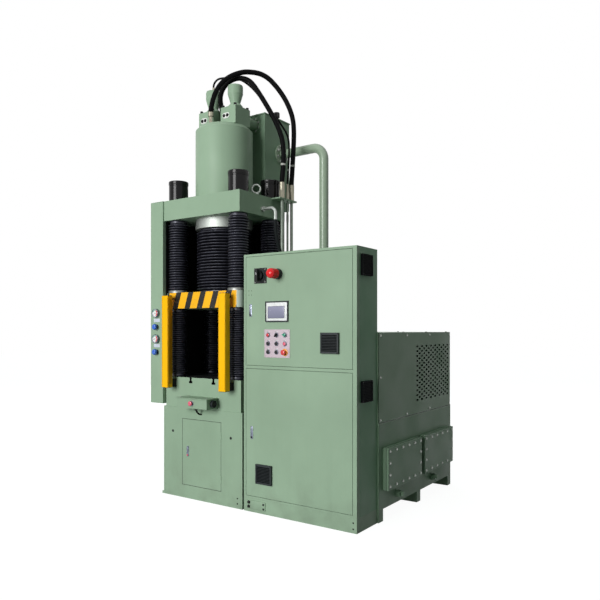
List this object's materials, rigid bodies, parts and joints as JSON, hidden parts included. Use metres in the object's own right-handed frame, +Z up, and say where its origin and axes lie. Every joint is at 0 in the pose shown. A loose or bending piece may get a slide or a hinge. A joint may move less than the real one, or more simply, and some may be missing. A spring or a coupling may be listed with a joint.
{
  "type": "four-column hydraulic press",
  "caption": "Four-column hydraulic press: bed, guided slide, crown and main cylinder, with control cabinet and oil power unit beside it.",
  "frame": {"origin": "on the floor under the press's vertical axis, centre of the base plate's underside area between the columns", "axes": "+Z up along the main cylinder, +Y to the rear, +X to the right towards the control cabinet"},
  "size_m": [2.112, 1.869, 3.633],
  "materials": {
    "green_paint": "satin sage green paint",
    "black_steel": "black oxide and black paint",
    "bright_steel": "bright machined steel",
    "ground_chrome": "ground and chromed",
    "bellows_rubber": "matte black rubberised fabric",
    "hose_rubber": "smooth black rubber",
    "yellow_paint": "yellow powder coat",
    "slate_plastic": "dark grey plastic",
    "red_plastic": "glossy red plastic",
    "panel_metal": "brushed plate",
    "zinc_plate": "zinc-plated sheet"
  },
  "bodies": {
    "frame": {"base_floor": "green_paint", "base_walls": "green_paint", "base_front_wall": "green_paint", "bed": "green_paint", "crown": "green_paint", "main_cylinder": "green_paint", "valve_blocks": "green_paint", "valve_caps": "green_paint", "prefill_tank": "green_paint", "prefill_lid": "green_paint", "prefill_pipes": "green_paint", "crown_brackets": "green_paint", "side_guard": "green_paint", "control_console": "green_paint", "cabinet_plinth": "green_paint", "cabinet_shell": "green_paint", "cabinet_frame": "green_paint", "oil_tank": "green_paint", "tank_deck": "green_paint", "motor_cover": "green_paint", "hood_side": "green_paint", "cleaning_covers": "green_paint", "drain_plugs": "green_paint", "unit_feet": "green_paint", "column_nuts": "black_steel", "rear_guard": "black_steel", "curtain_brackets": "black_steel", "pressure_gauges": "black_steel", "cylinder_nut": "bright_steel", "return_pipe": "bright_steel", "pressure_pipes": "bright_steel", "hose_fittings": "bright_steel", "drain_elbow": "bright_steel", "lifting_eyes": "bright_steel", "columns": "ground_chrome", "upper_bellows": "bellows_rubber", "lower_bellows": "bellows_rubber", "ram_bellows": "bellows_rubber", "pressure_hose": "hose_rubber", "supply_hose": "hose_rubber", "pilot_hose": "hose_rubber", "drain_hose": "hose_rubber", "console_cable": "hose_rubber", "light_curtains": "yellow_paint", "side_filters": "slate_plastic", "console_buttons": "red_plastic", "mounting_plate": "zinc_plate"},
    "slide": {"slide": "green_paint", "ram": "ground_chrome"},
    "upper_door": {"upper_door": "green_paint", "upper_filter": "slate_plastic", "hmi_panel": "slate_plastic", "button_plate": "panel_metal", "beacon": "red_plastic", "isolator_plate": "yellow_paint"},
    "isolator": {"isolator_handle": "black_steel"},
    "lower_door": {"lower_door": "green_paint", "lower_filter": "slate_plastic"},
    "base_door": {"base_door": "green_paint"}
  },
  "joints": [
    {"name": "slide_stroke", "type": "slide", "parent": "frame", "child": "slide", "axis": [0, 0, 1], "range_m": [-0.3, 0.2], "deforming": ["upper_bellows", "lower_bellows", "ram_bellows"]},
    {"name": "upper_door_hinge", "type": "hinge", "parent": "frame", "child": "upper_door", "pos_m": [1.433, -0.285, 1.5], "axis": [0, 0, 1], "range_deg": [0, 110]},
    {"name": "isolator_turn", "type": "hinge", "parent": "upper_door", "child": "isolator", "pos_m": [0.623, -0.285, 1.829], "axis": [0, -1, 0], "range_deg": [-90, 0]},
    {"name": "lower_door_hinge", "type": "hinge", "parent": "frame", "child": "lower_door", "pos_m": [1.433, -0.285, 0.6], "axis": [0, 0, 1], "range_deg": [0, 110]},
    {"name": "base_door_hinge", "type": "hinge", "parent": "frame", "child": "base_door", "pos_m": [0.215, -0.285, 0.4], "axis": [0, 0, 1], "range_deg": [0, 110]}
  ]
}
